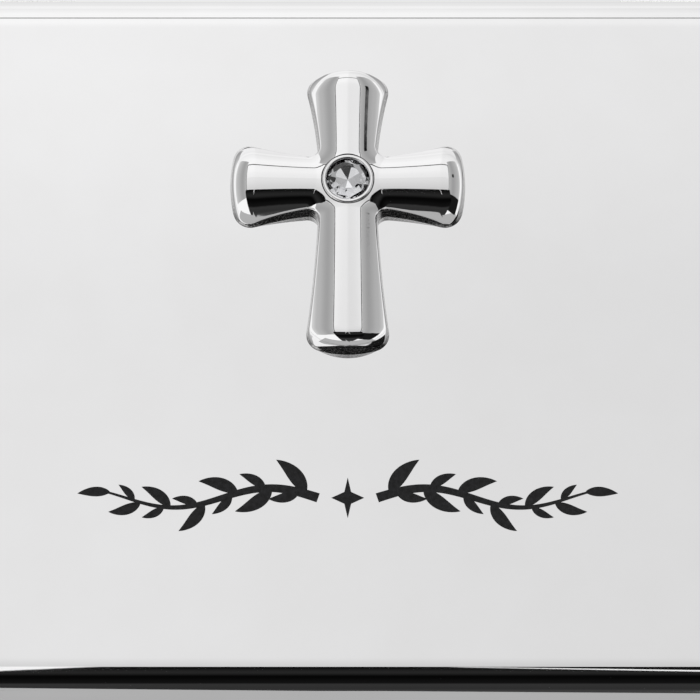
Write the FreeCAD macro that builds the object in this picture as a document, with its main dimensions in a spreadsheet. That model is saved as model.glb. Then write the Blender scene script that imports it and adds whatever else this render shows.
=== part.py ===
import FreeCAD, Part
import math
import os
import Sketcher

# A hinged keepsake box of silver-plated sheet, lined inside, with a cast cross and a stone on its lid.
# Millimetres and degrees. The box stands on z = 0, its front faces -Y and its hinge is at +Y.

SIZES = {
    # Shells and felt
    "box_width": 90.0,
    "box_depth": 67.4,
    "box_height": 40.0,
    "lid_height": 12.0,
    "wall": 1.0,
    "corner_radius": 6.0,
    "edge_radius": 4.0,
    "foot_radius": 1.5,
    "seam_gap": 0.1,
    "felt_thickness": 0.8,
    "felt_inset": 2.5,
    # Lining
    "card_thickness": 0.8,
    "velvet_thickness": 0.8,
    "pad_thickness": 2.2,
    "pad_bevel": 1.2,
    "pad_corner": 3.0,
    "lining_gap": 0.1,
    "lining_drop": 0.6,
    # Hinge
    "hinge_length": 50.0,
    "knuckle_radius": 1.5,
    "knuckle_gap": 0.1,
    "knuckle_clearance": 0.25,
    "solder_gap": 0.02,
    "pin_radius": 0.6,
    "pin_proud": 0.2,
    "pin_fixed_gap": 0.02,
    "pin_running_gap": 0.05,
    "bearer_web": 0.3,
    "bearer_reach": 1.5,
    "bearer_height": 3.4,
    "bearer_round": 1.0,
    "stop_bevel": 51.0,
    # Cross
    "cross_set_back": 14.2,
    "side_reach": 10.5,
    "top_reach": 10.95,
    "foot_reach": 15.8,
    "end_width": 8.2,
    "waist_width": 5.4,
    "end_bulge": 0.8,
    "cross_thickness": 2.5,
    "dome_radius": 4.6,
    "crotch_radius": 0.8,
    "end_corner": 1.5,
    "end_roll": 1.0,
    "valley_radius": 0.8,
    # Studs and clips
    "stud_radius": 0.8,
    "stud_hole_gap": 0.05,
    "stud_above": 6.5,
    "stud_below": 9.5,
    "stud_root": 1.0,
    "stud_tail": 0.8,
    "clip_radius": 2.4,
    "clip_thickness": 0.4,
    "clip_gap": 0.02,
    # Stone and its setting
    "stone_radius": 2.0,
    "crown_height": 0.7,
    "girdle_height": 0.15,
    "pavilion_depth": 1.2,
    "table_radius": 1.1,
    "star_radius": 1.06,
    "star_angle": 24.0,
    "culet_radius": 0.1,
    "stone_gap": 0.02,
    "setting_wall": 0.35,
    "setting_floor": 0.4,
    "setting_rise": 0.05,
    "setting_rim": 0.35,
    "setting_lean": 0.1,
    "setting_lip": 0.08,
    "setting_lip_start": 0.16,
    "setting_gap": 0.02,
    # What every cut runs past the solid that it cuts
    "cut_overrun": 0.5,
}

# Two coordinates nearer than this are the same
TOUCH = 1e-6

KNUCKLES = 5
MIDDLE_KNUCKLE = KNUCKLES // 2
FACETS = 8

# Derived sizes, as expressions on the sheet
SEAM = "(dims.box_height - dims.lid_height)"
TRAY_HEIGHT = f"({SEAM} - dims.felt_thickness)"
TRAY_FLOOR = "(dims.felt_thickness + dims.wall)"
LID_BOTTOM = f"({SEAM} + dims.seam_gap)"
LID_RISE = "(dims.lid_height - dims.seam_gap)"
INNER_WIDTH = "(dims.box_width - 2 * dims.wall)"
INNER_DEPTH = "(dims.box_depth - 2 * dims.wall)"
INNER_CORNER = "(dims.corner_radius - dims.wall)"
PANEL_UNDERSIDE = "(dims.box_height - dims.wall)"
# The bevel that leaves the wall its thickness behind the rounded edge
INNER_BEVEL = "((2 - sqrt(2)) * (dims.edge_radius - dims.wall))"
LID_CARD_TOP = "(dims.box_height - dims.edge_radius)"

AXIS_Y = "(dims.box_depth / 2 + dims.knuckle_radius + dims.knuckle_clearance + dims.bearer_web)"
AXIS_Z = f"({SEAM} + dims.seam_gap / 2)"
KNUCKLE_LENGTH = f"((dims.hinge_length - {KNUCKLES - 1} * dims.knuckle_gap) / {KNUCKLES})"

SETTING_RADIUS = "(dims.stone_radius + dims.stone_gap + dims.setting_wall)"
RIM_TOP = "(dims.cross_thickness + dims.setting_rise)"
GIRDLE_TOP = f"({RIM_TOP} - dims.setting_rim)"
CULET = f"({GIRDLE_TOP} - dims.girdle_height - dims.pavilion_depth)"
CUP_FLOOR = f"({CULET} - dims.stone_gap)"
CUP_BOTTOM = f"({CUP_FLOOR} - dims.setting_floor)"

doc = FreeCAD.newDocument("keepsake_box")
dims = doc.addObject("Spreadsheet::Sheet", "dims")
for row, (alias, size) in enumerate(SIZES.items(), start=1):
    dims.set(f"A{row}", alias)
    dims.set(f"B{row}", str(size))
    dims.setAlias(f"B{row}", alias)
doc.recompute()


def number(expression):
    return float(dims.evalExpression(expression))


def place(item, x="0", y="0", z="0"):
    for axis, expression in zip("xyz", (x, y, z)):
        item.setExpression(f"Placement.Base.{axis}", expression)


# Bodies, sketches and features

def new_body(label):
    body = doc.addObject("PartDesign::Body", label)
    body.Label = label
    return body


def origin_feature(body, role):
    return next(item for item in body.Origin.OriginFeatures if item.Role == role)


def new_sketch(body, name, role="XY_Plane", lift="0"):
    sketch = body.newObject("Sketcher::SketchObject", name)
    sketch.AttachmentSupport = (origin_feature(body, role), [""])
    sketch.MapMode = "FlatFace"
    sketch.setExpression("AttachmentOffset.Base.z", lift)
    return sketch


def drive(sketch, kind, where, expression):
    index = sketch.addConstraint(Sketcher.Constraint(kind, *where, number(expression)))
    name = f"{kind.lower()}_{index}"
    sketch.renameConstraint(index, name)
    sketch.setExpression(f"Constraints.{name}", expression)


def fix_point(sketch, item, end, x, y):
    for kind, axis, expression in (("DistanceX", -2, x), ("DistanceY", -1, y)):
        if expression == "0":
            sketch.addConstraint(Sketcher.Constraint("PointOnObject", item, end, axis))
        else:
            drive(sketch, kind, (-1, 1, item, end), expression)


def rounded_rectangle(sketch, width, depth, radius):
    half_x = number(width) / 2
    half_y = number(depth) / 2
    bend = number(radius)
    signs = ((1, -1), (1, 1), (-1, 1), (-1, -1))
    quarter = math.pi / 2
    arcs = []
    for turn, (side_x, side_y) in enumerate(signs):
        centre = FreeCAD.Vector(side_x * (half_x - bend), side_y * (half_y - bend), 0)
        circle = Part.Circle(centre, FreeCAD.Vector(0, 0, 1), bend)
        arcs.append(sketch.addGeometry(Part.ArcOfCircle(circle, (turn - 1) * quarter, turn * quarter)))
    sides = []
    for arc, following in zip(arcs, arcs[1:] + arcs[:1]):
        start = sketch.Geometry[arc].EndPoint
        sides.append(sketch.addGeometry(Part.LineSegment(start, sketch.Geometry[following].StartPoint)))
    for arc, side, following in zip(arcs, sides, arcs[1:] + arcs[:1]):
        sketch.addConstraint(Sketcher.Constraint("Tangent", arc, 2, side, 1))
        sketch.addConstraint(Sketcher.Constraint("Tangent", side, 2, following, 1))
    for arc in arcs[1:]:
        sketch.addConstraint(Sketcher.Constraint("Equal", arcs[0], arc))
    right, back, left, front = sides
    sketch.addConstraint(Sketcher.Constraint("Vertical", right))
    sketch.addConstraint(Sketcher.Constraint("Horizontal", back))
    sketch.addConstraint(Sketcher.Constraint("Symmetric", arcs[1], 3, arcs[3], 3, -1, 1))
    drive(sketch, "Radius", (arcs[0],), radius)
    drive(sketch, "DistanceX", (left, 1, right, 1), width)
    drive(sketch, "DistanceY", (front, 1, back, 1), depth)


def circle(sketch, radius, x="0", y="0"):
    centre = FreeCAD.Vector(number(x), number(y), 0)
    item = sketch.addGeometry(Part.Circle(centre, FreeCAD.Vector(0, 0, 1), number(radius)))
    fix_point(sketch, item, 3, x, y)
    drive(sketch, "Radius", (item,), radius)


def polygon(sketch, points):
    corners = [FreeCAD.Vector(number(x), number(y), 0) for x, y in points]
    lines = []
    for corner, following in zip(corners, corners[1:] + corners[:1]):
        lines.append(sketch.addGeometry(Part.LineSegment(corner, following)))
    for line, following in zip(lines, lines[1:] + lines[:1]):
        sketch.addConstraint(Sketcher.Constraint("Coincident", line, 2, following, 1))
    for line, (x, y) in zip(lines, points):
        fix_point(sketch, line, 1, x, y)


def pad(body, sketch, length, symmetric=False):
    feature = body.newObject("PartDesign::Pad", f"{sketch.Name}_pad")
    feature.Profile = sketch
    feature.SideType = "Symmetric" if symmetric else "One side"
    feature.setExpression("Length", length)
    doc.recompute()
    return feature


def pocket(body, sketch, length, symmetric=False, upward=False, taper=0):
    before = body.Shape.Volume
    feature = body.newObject("PartDesign::Pocket", f"{sketch.Name}_pocket")
    feature.Profile = sketch
    feature.SideType = "Symmetric" if symmetric else "One side"
    feature.Reversed = upward
    feature.TaperAngle = taper
    feature.setExpression("Length", length)
    doc.recompute()
    if body.Shape.Volume >= before:
        raise RuntimeError(f"{feature.Name} cuts nothing")
    return feature


def revolve(body, sketch):
    feature = body.newObject("PartDesign::Revolution", f"{sketch.Name}_revolution")
    feature.Profile = sketch
    feature.ReferenceAxis = (sketch, ["V_Axis"])
    doc.recompute()
    return feature


def fillet(body, base, edges, radius):
    feature = body.newObject("PartDesign::Fillet", f"{base.Name}_fillet")
    feature.Base = (base, edges)
    feature.setExpression("Radius", radius)
    doc.recompute()
    return feature


def chamfer(body, base, edges, size):
    feature = body.newObject("PartDesign::Chamfer", f"{base.Name}_chamfer")
    feature.Base = (base, edges)
    feature.setExpression("Size", size)
    doc.recompute()
    return feature


def edges_where(feature, test):
    names = [f"Edge{count}" for count, edge in enumerate(feature.Shape.Edges, start=1) if test(edge.BoundBox)]
    if not names:
        raise RuntimeError(f"{feature.Name} has no such edge")
    return names


def level(box, height):
    return math.isclose(box.ZMin, height, abs_tol=TOUCH) and math.isclose(box.ZMax, height, abs_tol=TOUCH)


# Shells

def body_shell():
    body = new_body("body_shell")
    place(body, z="dims.felt_thickness")
    outline = new_sketch(body, "tray_outline")
    rounded_rectangle(outline, "dims.box_width", "dims.box_depth", "dims.corner_radius")
    blank = pad(body, outline, TRAY_HEIGHT)
    fillet(body, blank, edges_where(blank, lambda box: level(box, 0)), "dims.foot_radius")
    inside = new_sketch(body, "tray_inside", lift=TRAY_HEIGHT)
    rounded_rectangle(inside, INNER_WIDTH, INNER_DEPTH, INNER_CORNER)
    pocket(body, inside, f"{TRAY_HEIGHT} - dims.wall")
    return body


def lid_shell():
    body = new_body("lid_shell")
    place(body, z=LID_BOTTOM)
    outline = new_sketch(body, "lid_outline")
    rounded_rectangle(outline, "dims.box_width", "dims.box_depth", "dims.corner_radius")
    blank = pad(body, outline, LID_RISE)
    top = number(LID_RISE)
    fillet(body, blank, edges_where(blank, lambda box: level(box, top)), "dims.edge_radius")
    inside = new_sketch(body, "lid_inside", lift=f"{LID_RISE} - dims.wall - {INNER_BEVEL}")
    rounded_rectangle(inside, INNER_WIDTH, INNER_DEPTH, INNER_CORNER)
    pocket(body, inside, LID_RISE)
    pocket(body, inside, INNER_BEVEL, upward=True, taper=-45)
    holes = new_sketch(body, "stud_holes", lift=LID_RISE)
    for offset in ("dims.stud_above", "-dims.stud_below"):
        circle(holes, "dims.stud_radius + dims.stud_hole_gap", y=f"dims.cross_set_back + {offset}")
    pocket(body, holes, "dims.wall + dims.cut_overrun")
    return body


def base_felt():
    body = new_body("base_felt")
    sketch = new_sketch(body, "felt_outline")
    inset = "2 * dims.felt_inset"
    rounded_rectangle(sketch, f"dims.box_width - {inset}", f"dims.box_depth - {inset}",
                      "dims.corner_radius - dims.felt_inset")
    pad(body, sketch, "dims.felt_thickness")
    return body


# Lining

def wall_lining(label, depth_in, thickness):
    body = new_body(label)
    place(body, z=TRAY_FLOOR)
    sketch = new_sketch(body, f"{label}_ring")
    for inset in (depth_in, f"{depth_in} + {thickness}"):
        rounded_rectangle(sketch, f"{INNER_WIDTH} - 2 * ({inset})", f"{INNER_DEPTH} - 2 * ({inset})",
                          f"{INNER_CORNER} - ({inset})")
    pad(body, sketch, f"{SEAM} - {TRAY_FLOOR} - dims.lining_drop")
    return body


def card(label, inset, z, corner):
    body = new_body(label)
    place(body, z=z)
    sketch = new_sketch(body, f"{label}_outline")
    rounded_rectangle(sketch, f"{INNER_WIDTH} - 2 * ({inset})", f"{INNER_DEPTH} - 2 * ({inset})", corner)
    pad(body, sketch, "dims.card_thickness")
    return body


def padded_velvet(label, inset, z, corner, soft_side):
    body = new_body(label)
    place(body, z=z)
    sketch = new_sketch(body, f"{label}_outline")
    rounded_rectangle(sketch, f"{INNER_WIDTH} - 2 * ({inset})", f"{INNER_DEPTH} - 2 * ({inset})", corner)
    blank = pad(body, sketch, "dims.pad_thickness")
    soft = number(soft_side)
    chamfer(body, blank, edges_where(blank, lambda box: level(box, soft)), "dims.pad_bevel")
    return body


# Hinge

def bearer(label, side, own_stations):
    body = new_body(label)
    place(body, y=AXIS_Y, z=AXIS_Z)
    sketch = new_sketch(body, f"{label}_profile", "YZ_Plane")
    to_wall = f"dims.box_depth / 2 - {AXIS_Y}"
    flat = f"{side} * dims.seam_gap / 2"
    foot = f"{side} * dims.bearer_height"
    bevel_end = f"{side} * (dims.seam_gap / 2 + dims.bearer_reach * tan(dims.stop_bevel * 1 deg))"
    polygon(sketch, [(to_wall, flat), ("0", flat), ("dims.bearer_reach", bevel_end),
                     ("dims.bearer_reach", foot), (to_wall, foot)])
    blank = pad(body, sketch, "dims.hinge_length", symmetric=True)
    rear = number("dims.bearer_reach")
    far = number(foot)
    fillet(body, blank, edges_where(blank, lambda box: level(box, far) and math.isclose(box.YMin, rear)),
           "dims.bearer_round")
    trough = new_sketch(body, f"{label}_trough", "YZ_Plane")
    circle(trough, "dims.knuckle_radius + dims.solder_gap")
    pocket(body, trough, "dims.hinge_length", symmetric=True)
    for station in range(KNUCKLES):
        if station not in own_stations:
            relief = new_sketch(body, f"{label}_relief", "YZ_Plane", station_middle(station))
            circle(relief, "dims.knuckle_radius + dims.knuckle_clearance")
            pocket(body, relief, f"{KNUCKLE_LENGTH} + 2 * dims.knuckle_gap", symmetric=True)
    return body


def station_middle(station):
    return f"{station - MIDDLE_KNUCKLE} * ({KNUCKLE_LENGTH} + dims.knuckle_gap)"


def knuckle(label, station, bore_gap):
    body = new_body(label)
    place(body, x=station_middle(station), y=AXIS_Y, z=AXIS_Z)
    sketch = new_sketch(body, f"{label}_section", "YZ_Plane")
    circle(sketch, "dims.knuckle_radius")
    circle(sketch, f"dims.pin_radius + {bore_gap}")
    pad(body, sketch, KNUCKLE_LENGTH, symmetric=True)
    return body


def hinge_pin():
    body = new_body("hinge_pin")
    place(body, y=AXIS_Y, z=AXIS_Z)
    sketch = new_sketch(body, "pin_section", "YZ_Plane")
    circle(sketch, "dims.pin_radius")
    wire = pad(body, sketch, "dims.hinge_length + 2 * dims.pin_proud", symmetric=True)
    chamfer(body, wire, edges_where(wire, lambda box: math.isclose(box.XMin, box.XMax)), "dims.pin_proud")
    return body


# Cross

def arc_outline(sketch, corners, arcs):
    """A closed outline of arcs, run anticlockwise. Each arc has a radius and the side that it bulges to."""
    points = [FreeCAD.Vector(number(x), number(y), 0) for x, y in corners]
    items = []
    for start, end, (radius, side) in zip(points, points[1:] + points[:1], arcs):
        chord = end - start
        half = chord.Length / 2
        sag = number(radius) - math.sqrt(number(radius) ** 2 - half ** 2)
        outward = FreeCAD.Vector(chord.y, -chord.x, 0).normalize()
        middle = (start + end) / 2 + outward * (side * sag)
        items.append(sketch.addGeometry(Part.Arc(start, middle, end)))
    ends = [(1, 2) if side > 0 else (2, 1) for radius, side in arcs]
    for count, item in enumerate(items):
        following = (count + 1) % len(items)
        sketch.addConstraint(Sketcher.Constraint("Coincident", item, ends[count][1],
                                                 items[following], ends[following][0]))
    for item, (first, last), (x, y), (radius, side) in zip(items, ends, corners, arcs):
        fix_point(sketch, item, first, x, y)
        drive(sketch, "Radius", (item,), radius)


def cross_blank():
    sketch = doc.addObject("Sketcher::SketchObject", "cross_outline")
    place(sketch, y="dims.cross_set_back", z="dims.box_height")
    waist = "dims.waist_width / 2"
    end = "dims.end_width / 2"
    side, top, foot = (f"(dims.{reach} - dims.end_bulge)" for reach in ("side_reach", "top_reach", "foot_reach"))
    crotch = f"({waist} + dims.crotch_radius)"
    corners = [
        (side, f"-{end}"), (side, end), (crotch, waist), (waist, crotch),
        (end, top), (f"-{end}", top), (f"-{waist}", crotch), (f"-{crotch}", waist),
        (f"-{side}", end), (f"-{side}", f"-{end}"), (f"-{crotch}", f"-{waist}"), (f"-{waist}", f"-{crotch}"),
        (f"-{end}", f"-{foot}"), (end, f"-{foot}"), (waist, f"-{crotch}"), (crotch, f"-{waist}"),
    ]
    flare = f"({end} - {waist})"
    tip = (f"({end} * {end} + dims.end_bulge ^ 2) / (2 * dims.end_bulge)", 1)
    flank = {reach: (f"(({reach} - {crotch}) ^ 2 + {flare} ^ 2) / (2 * {flare})", -1) for reach in (side, top, foot)}
    bend = ("dims.crotch_radius", -1)
    arcs = [tip, flank[side], bend, flank[top], tip, flank[top], bend, flank[side],
            tip, flank[side], bend, flank[foot], tip, flank[foot], bend, flank[side]]
    arc_outline(sketch, corners, arcs)
    blank = doc.addObject("Part::Extrusion", "cross_blank")
    blank.Base = offset_outline("cross_rounded", offset_outline("cross_shrunk", sketch, "-dims.end_corner"),
                                "dims.end_corner")
    blank.Solid = True
    blank.DirMode = "Normal"
    blank.setExpression("LengthFwd", "dims.cross_thickness + dims.cut_overrun")
    doc.recompute()
    return blank


def offset_outline(name, source, distance):
    """Shrinking an outline and growing it again rounds its outer corners and leaves the rest as it was."""
    outline = doc.addObject("Part::Offset2D", name)
    outline.Source = source
    outline.setExpression("Value", distance)
    outline.Join = "Arc"
    doc.recompute()
    return outline


def rolled_bar(name, turn, length, start_x="0", start_y="0"):
    """A round bar whose ends roll over. Its upper side is the dome of two arms."""
    bar = doc.addObject("Part::Cylinder", f"{name}_bar")
    bar.Placement = FreeCAD.Placement(FreeCAD.Vector(), turn)
    bar.setExpression("Radius", "dims.dome_radius")
    bar.setExpression("Height", length)
    place(bar, start_x, f"dims.cross_set_back + {start_y}",
          "dims.box_height + dims.cross_thickness - dims.dome_radius")
    doc.recompute()
    return soften(name, bar, lambda edge: edge.isClosed(), "dims.end_roll")


def stud(name, offset):
    pin = doc.addObject("Part::Cylinder", name)
    pin.setExpression("Radius", "dims.stud_radius")
    tail = "(dims.wall + dims.clip_thickness + dims.stud_tail)"
    pin.setExpression("Height", f"{tail} + dims.stud_root")
    place(pin, y=f"dims.cross_set_back + {offset}", z=f"dims.box_height - {tail}")
    return pin


def cross_ornament():
    along_x = FreeCAD.Rotation(FreeCAD.Vector(0, 1, 0), 90)
    along_y = FreeCAD.Rotation(FreeCAD.Vector(1, 0, 0), -90)
    vault = doc.addObject("Part::MultiFuse", "cross_vault")
    vault.Shapes = [
        rolled_bar("dome_across", along_x, "2 * dims.side_reach", start_x="-dims.side_reach"),
        rolled_bar("dome_along", along_y, "dims.foot_reach + dims.top_reach", start_y="-dims.foot_reach"),
    ]
    domed = doc.addObject("Part::Common", "cross_domed")
    domed.Base = cross_blank()
    domed.Tool = vault
    seat = doc.addObject("Part::Cylinder", "setting_seat")
    seat.setExpression("Radius", f"{SETTING_RADIUS} + dims.setting_gap")
    seat.setExpression("Height", f"dims.cross_thickness - {CUP_BOTTOM} + dims.cut_overrun")
    place(seat, y="dims.cross_set_back", z=f"dims.box_height + {CUP_BOTTOM}")
    seated = doc.addObject("Part::Cut", "cross_seated")
    seated.Base = domed
    seated.Tool = seat
    doc.recompute()
    softened = soften("cross_valleys", seated, lambda edge: isinstance(edge.Curve, Part.Ellipse), "dims.valley_radius")
    cross = doc.addObject("Part::MultiFuse", "cross_ornament")
    cross.Shapes = [softened, stud("stud_upper", "dims.stud_above"), stud("stud_lower", "-dims.stud_below")]
    cross.Label = "cross_ornament"
    return cross


def soften(name, base, test, radius):
    size = number(radius)
    feature = doc.addObject("Part::Fillet", name)
    feature.Base = base
    feature.Edges = [(count, size, size) for count, edge in enumerate(base.Shape.Edges, start=1) if test(edge)]
    doc.recompute()
    return feature


def stud_clips():
    clips = []
    for name, offset in (("clip_upper", "dims.stud_above"), ("clip_lower", "-dims.stud_below")):
        body = new_body(name)
        place(body, y=f"dims.cross_set_back + {offset}", z=f"{PANEL_UNDERSIDE} - dims.clip_thickness")
        sketch = new_sketch(body, f"{name}_ring")
        circle(sketch, "dims.clip_radius")
        circle(sketch, "dims.stud_radius + dims.clip_gap")
        pad(body, sketch, "dims.clip_thickness")
        clips.append(body)
    pair = doc.addObject("Part::Compound", "stud_clips")
    pair.Links = clips
    pair.Label = "stud_clips"
    return pair


def stone_setting():
    body = new_body("stone_setting")
    place(body, y="dims.cross_set_back", z="dims.box_height")
    sketch = new_sketch(body, "setting_profile", "XZ_Plane")
    bore = "dims.stone_radius + dims.stone_gap"
    polygon(sketch, [
        ("0", CUP_BOTTOM), (SETTING_RADIUS, CUP_BOTTOM), (SETTING_RADIUS, GIRDLE_TOP),
        (f"{SETTING_RADIUS} - dims.setting_lean", RIM_TOP), ("dims.stone_radius - dims.setting_lip", RIM_TOP),
        (bore, f"{GIRDLE_TOP} + dims.setting_lip_start"), (bore, CUP_FLOOR), ("0", CUP_FLOOR),
    ])
    revolve(body, sketch)
    return body


def crystal():
    body = new_body("crystal")
    place(body, y="dims.cross_set_back", z=f"dims.box_height + {CULET}")
    girdle = "(dims.pavilion_depth + dims.girdle_height)"
    table = f"({girdle} + dims.crown_height)"
    blank = new_sketch(body, "stone_girdle")
    circle(blank, "dims.stone_radius")
    pad(body, blank, table)
    outside = "dims.stone_radius + dims.cut_overrun"
    above = f"{table} + dims.cut_overrun"
    star_foot = f"{table} - (dims.stone_radius - dims.star_radius) * tan(dims.star_angle * 1 deg)"
    tiers = (
        ("pavilion_main", 0, [("dims.culet_radius", "0"), ("dims.stone_radius", "dims.pavilion_depth"),
                              (outside, "-dims.cut_overrun")]),
        ("crown_main", 0, [("dims.stone_radius", girdle), ("dims.table_radius", table), (outside, above)]),
        ("crown_star", 180 / FACETS, [("dims.stone_radius", star_foot), ("dims.star_radius", table),
                                      (outside, above)]),
    )
    for name, turn, corners in tiers:
        sketch = new_sketch(body, name, "XZ_Plane")
        sketch.AttachmentOffset = FreeCAD.Placement(FreeCAD.Vector(), FreeCAD.Rotation(FreeCAD.Vector(0, 1, 0), turn))
        polygon(sketch, corners)
        facet = pocket(body, sketch, "4 * dims.stone_radius", symmetric=True)
        ring = body.newObject("PartDesign::PolarPattern", f"{name}_ring")
        ring.Originals = [facet]
        ring.Axis = (origin_feature(body, "Z_Axis"), [""])
        ring.Occurrences = FACETS
        body.Tip = ring
        doc.recompute()
    return body


LINING_INSET = "dims.lining_gap + dims.card_thickness"
FLOOR_INSET = f"{LINING_INSET} + dims.velvet_thickness + dims.lining_gap"

nodes = [
    body_shell(),
    base_felt(),
    wall_lining("wall_card", "dims.lining_gap", "dims.card_thickness"),
    wall_lining("wall_velvet", LINING_INSET, "dims.velvet_thickness"),
    card("floor_card", FLOOR_INSET, TRAY_FLOOR, "dims.pad_corner"),
    padded_velvet("floor_velvet", FLOOR_INSET, f"{TRAY_FLOOR} + dims.card_thickness", "dims.pad_corner",
                  "dims.pad_thickness"),
    bearer("body_hinge_bearer", -1, (0, 2, 4)),
    knuckle("body_knuckle_left", 0, "dims.pin_fixed_gap"),
    knuckle("body_knuckle_middle", 2, "dims.pin_fixed_gap"),
    knuckle("body_knuckle_right", 4, "dims.pin_fixed_gap"),
    hinge_pin(),
    lid_shell(),
    bearer("lid_hinge_bearer", 1, (1, 3)),
    knuckle("lid_knuckle_left", 1, "dims.pin_running_gap"),
    knuckle("lid_knuckle_right", 3, "dims.pin_running_gap"),
    card("lid_card", "dims.lining_gap", f"{LID_CARD_TOP} - dims.card_thickness", INNER_CORNER),
    padded_velvet("lid_velvet", "dims.lining_gap", f"{LID_CARD_TOP} - dims.card_thickness - dims.pad_thickness",
                  INNER_CORNER, "0"),
    cross_ornament(),
    stud_clips(),
    stone_setting(),
    crystal(),
]
doc.recompute()

for item in doc.Objects:
    if "Invalid" in item.State or "Error" in item.State:
        raise RuntimeError(f"{item.Name} failed: {item.State}")
for node in nodes:
    if node.Shape.isNull() or not node.Shape.isValid():
        raise RuntimeError(f"{node.Label} has no valid shape")

os.makedirs("parts", exist_ok=True)
for node in nodes:
    node.Shape.exportStep(f"parts/{node.Label}.step")
    solids = len(node.Shape.Solids)
    print(f"{node.Label}: {solids} solid(s), {node.Shape.Volume:.2f} mm3")
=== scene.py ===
import math

import bmesh
import bpy
import numpy as np
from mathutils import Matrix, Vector
from mathutils.geometry import delaunay_2d_cdt


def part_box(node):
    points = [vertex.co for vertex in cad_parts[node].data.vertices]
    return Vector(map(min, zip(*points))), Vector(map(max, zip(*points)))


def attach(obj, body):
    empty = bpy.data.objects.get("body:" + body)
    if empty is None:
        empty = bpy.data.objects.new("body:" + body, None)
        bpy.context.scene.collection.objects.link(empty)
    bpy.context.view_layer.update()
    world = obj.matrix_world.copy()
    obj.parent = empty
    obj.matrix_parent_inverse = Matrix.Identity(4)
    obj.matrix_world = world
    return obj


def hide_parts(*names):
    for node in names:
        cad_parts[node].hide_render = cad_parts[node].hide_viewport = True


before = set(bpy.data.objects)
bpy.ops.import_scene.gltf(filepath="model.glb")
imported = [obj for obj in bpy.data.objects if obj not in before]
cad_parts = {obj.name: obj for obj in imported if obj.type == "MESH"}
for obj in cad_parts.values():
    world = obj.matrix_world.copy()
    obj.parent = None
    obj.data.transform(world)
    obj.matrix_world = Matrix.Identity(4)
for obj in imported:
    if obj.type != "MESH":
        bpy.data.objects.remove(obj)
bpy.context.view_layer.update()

MM = 0.001


# Sizes in millimetres, read from the frame where it has them
def node_box(node):
    low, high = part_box(node)
    return np.array(low) / MM, np.array(high) / MM


BODY_LOW, BODY_HIGH = node_box("body_shell")
LID_LOW, LID_HIGH = node_box("lid_shell")
CROSS_LOW, CROSS_HIGH = node_box("cross_ornament")
SETTING_LOW, SETTING_HIGH = node_box("stone_setting")
STONE_LOW, STONE_HIGH = node_box("crystal")
WIDTH = LID_HIGH[0] - LID_LOW[0]
DEPTH = LID_HIGH[1] - LID_LOW[1]
PANEL = LID_HIGH[2]
WALL = 1.0
CORNER = 6.0
EDGE = 4.0
FOOT = 1.5
SHARP_ANGLE = math.radians(50)


# Mesh helpers

def new_object(name, points, faces, materials, smooth=True):
    mesh = bpy.data.meshes.new(name)
    mesh.from_pydata([tuple(float(c) * MM for c in point) for point in points], [], faces)
    mesh.validate()
    bm = bmesh.new()
    bm.from_mesh(mesh)
    bmesh.ops.recalc_face_normals(bm, faces=bm.faces)
    bm.to_mesh(mesh)
    bm.free()
    for material in materials:
        mesh.materials.append(material)
    mesh.polygons.foreach_set("use_smooth", [smooth] * len(mesh.polygons))
    piece = bpy.data.objects.new(name, mesh)
    bpy.context.collection.objects.link(piece)
    return piece


def weigh_normals(piece):
    """Broad flat faces keep their own normal, so that a mirror stays flat up to its rounded edge."""
    modifier = piece.modifiers.new("normals", "WEIGHTED_NORMAL")
    modifier.mode = "FACE_AREA"
    modifier.weight = 100
    modifier.keep_sharp = True


LEAST_CORNER = 0.02


def rounded_loop(width, depth, corner, z, arc_steps=14):
    corner = max(corner, LEAST_CORNER)
    points = []
    for turn, (side_x, side_y) in enumerate(((1, 1), (-1, 1), (-1, -1), (1, -1))):
        centre_x = side_x * (width / 2 - corner)
        centre_y = side_y * (depth / 2 - corner)
        for step in range(arc_steps + 1):
            angle = math.pi / 2 * (turn + step / arc_steps)
            points.append((centre_x + corner * math.cos(angle), centre_y + corner * math.sin(angle), z))
    return points


def circle_loop(radius, z, steps, centre=(0.0, 0.0)):
    return [(centre[0] + radius * math.cos(2 * math.pi * k / steps),
             centre[1] + radius * math.sin(2 * math.pi * k / steps), z) for k in range(steps)]


def skin(loops, cap_first=True, cap_last=True, joined=False):
    """Quads between loops of equal length, with the first and the last loop filled."""
    count = len(loops[0])
    points = [point for loop in loops for point in loop]
    faces = []
    rings = len(loops) if joined else len(loops) - 1
    for ring in range(rings):
        low = ring * count
        high = (ring + 1) % len(loops) * count
        for k in range(count):
            following = (k + 1) % count
            faces.append((low + k, low + following, high + following, high + k))
    if cap_first and not joined:
        faces.append(tuple(range(count)))
    if cap_last and not joined:
        faces.append(tuple((len(loops) - 1) * count + k for k in range(count)))
    return points, faces


def arc_profile(centre_inset, centre_z, radius, start, stop, steps):
    """(inset, z) along an arc. Angle 0 points out of the wall and 90 up."""
    profile = []
    for step in range(steps + 1):
        angle = math.radians(start + (stop - start) * step / steps)
        profile.append((centre_inset - radius * math.cos(angle), centre_z + radius * math.sin(angle)))
    return profile


def box_loops(profile, width, depth, corner):
    return [rounded_loop(width - 2 * inset, depth - 2 * inset, corner - inset, z) for inset, z in profile]


# Materials

def new_material(name):
    material = bpy.data.materials.new(name)
    material.use_nodes = True
    return material, material.node_tree, material.node_tree.nodes["Principled BSDF"]


def new_metal(name):
    material, tree, shader = new_material(name)
    shader.inputs["Metallic"].default_value = 1.0
    return material, tree, shader


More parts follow.
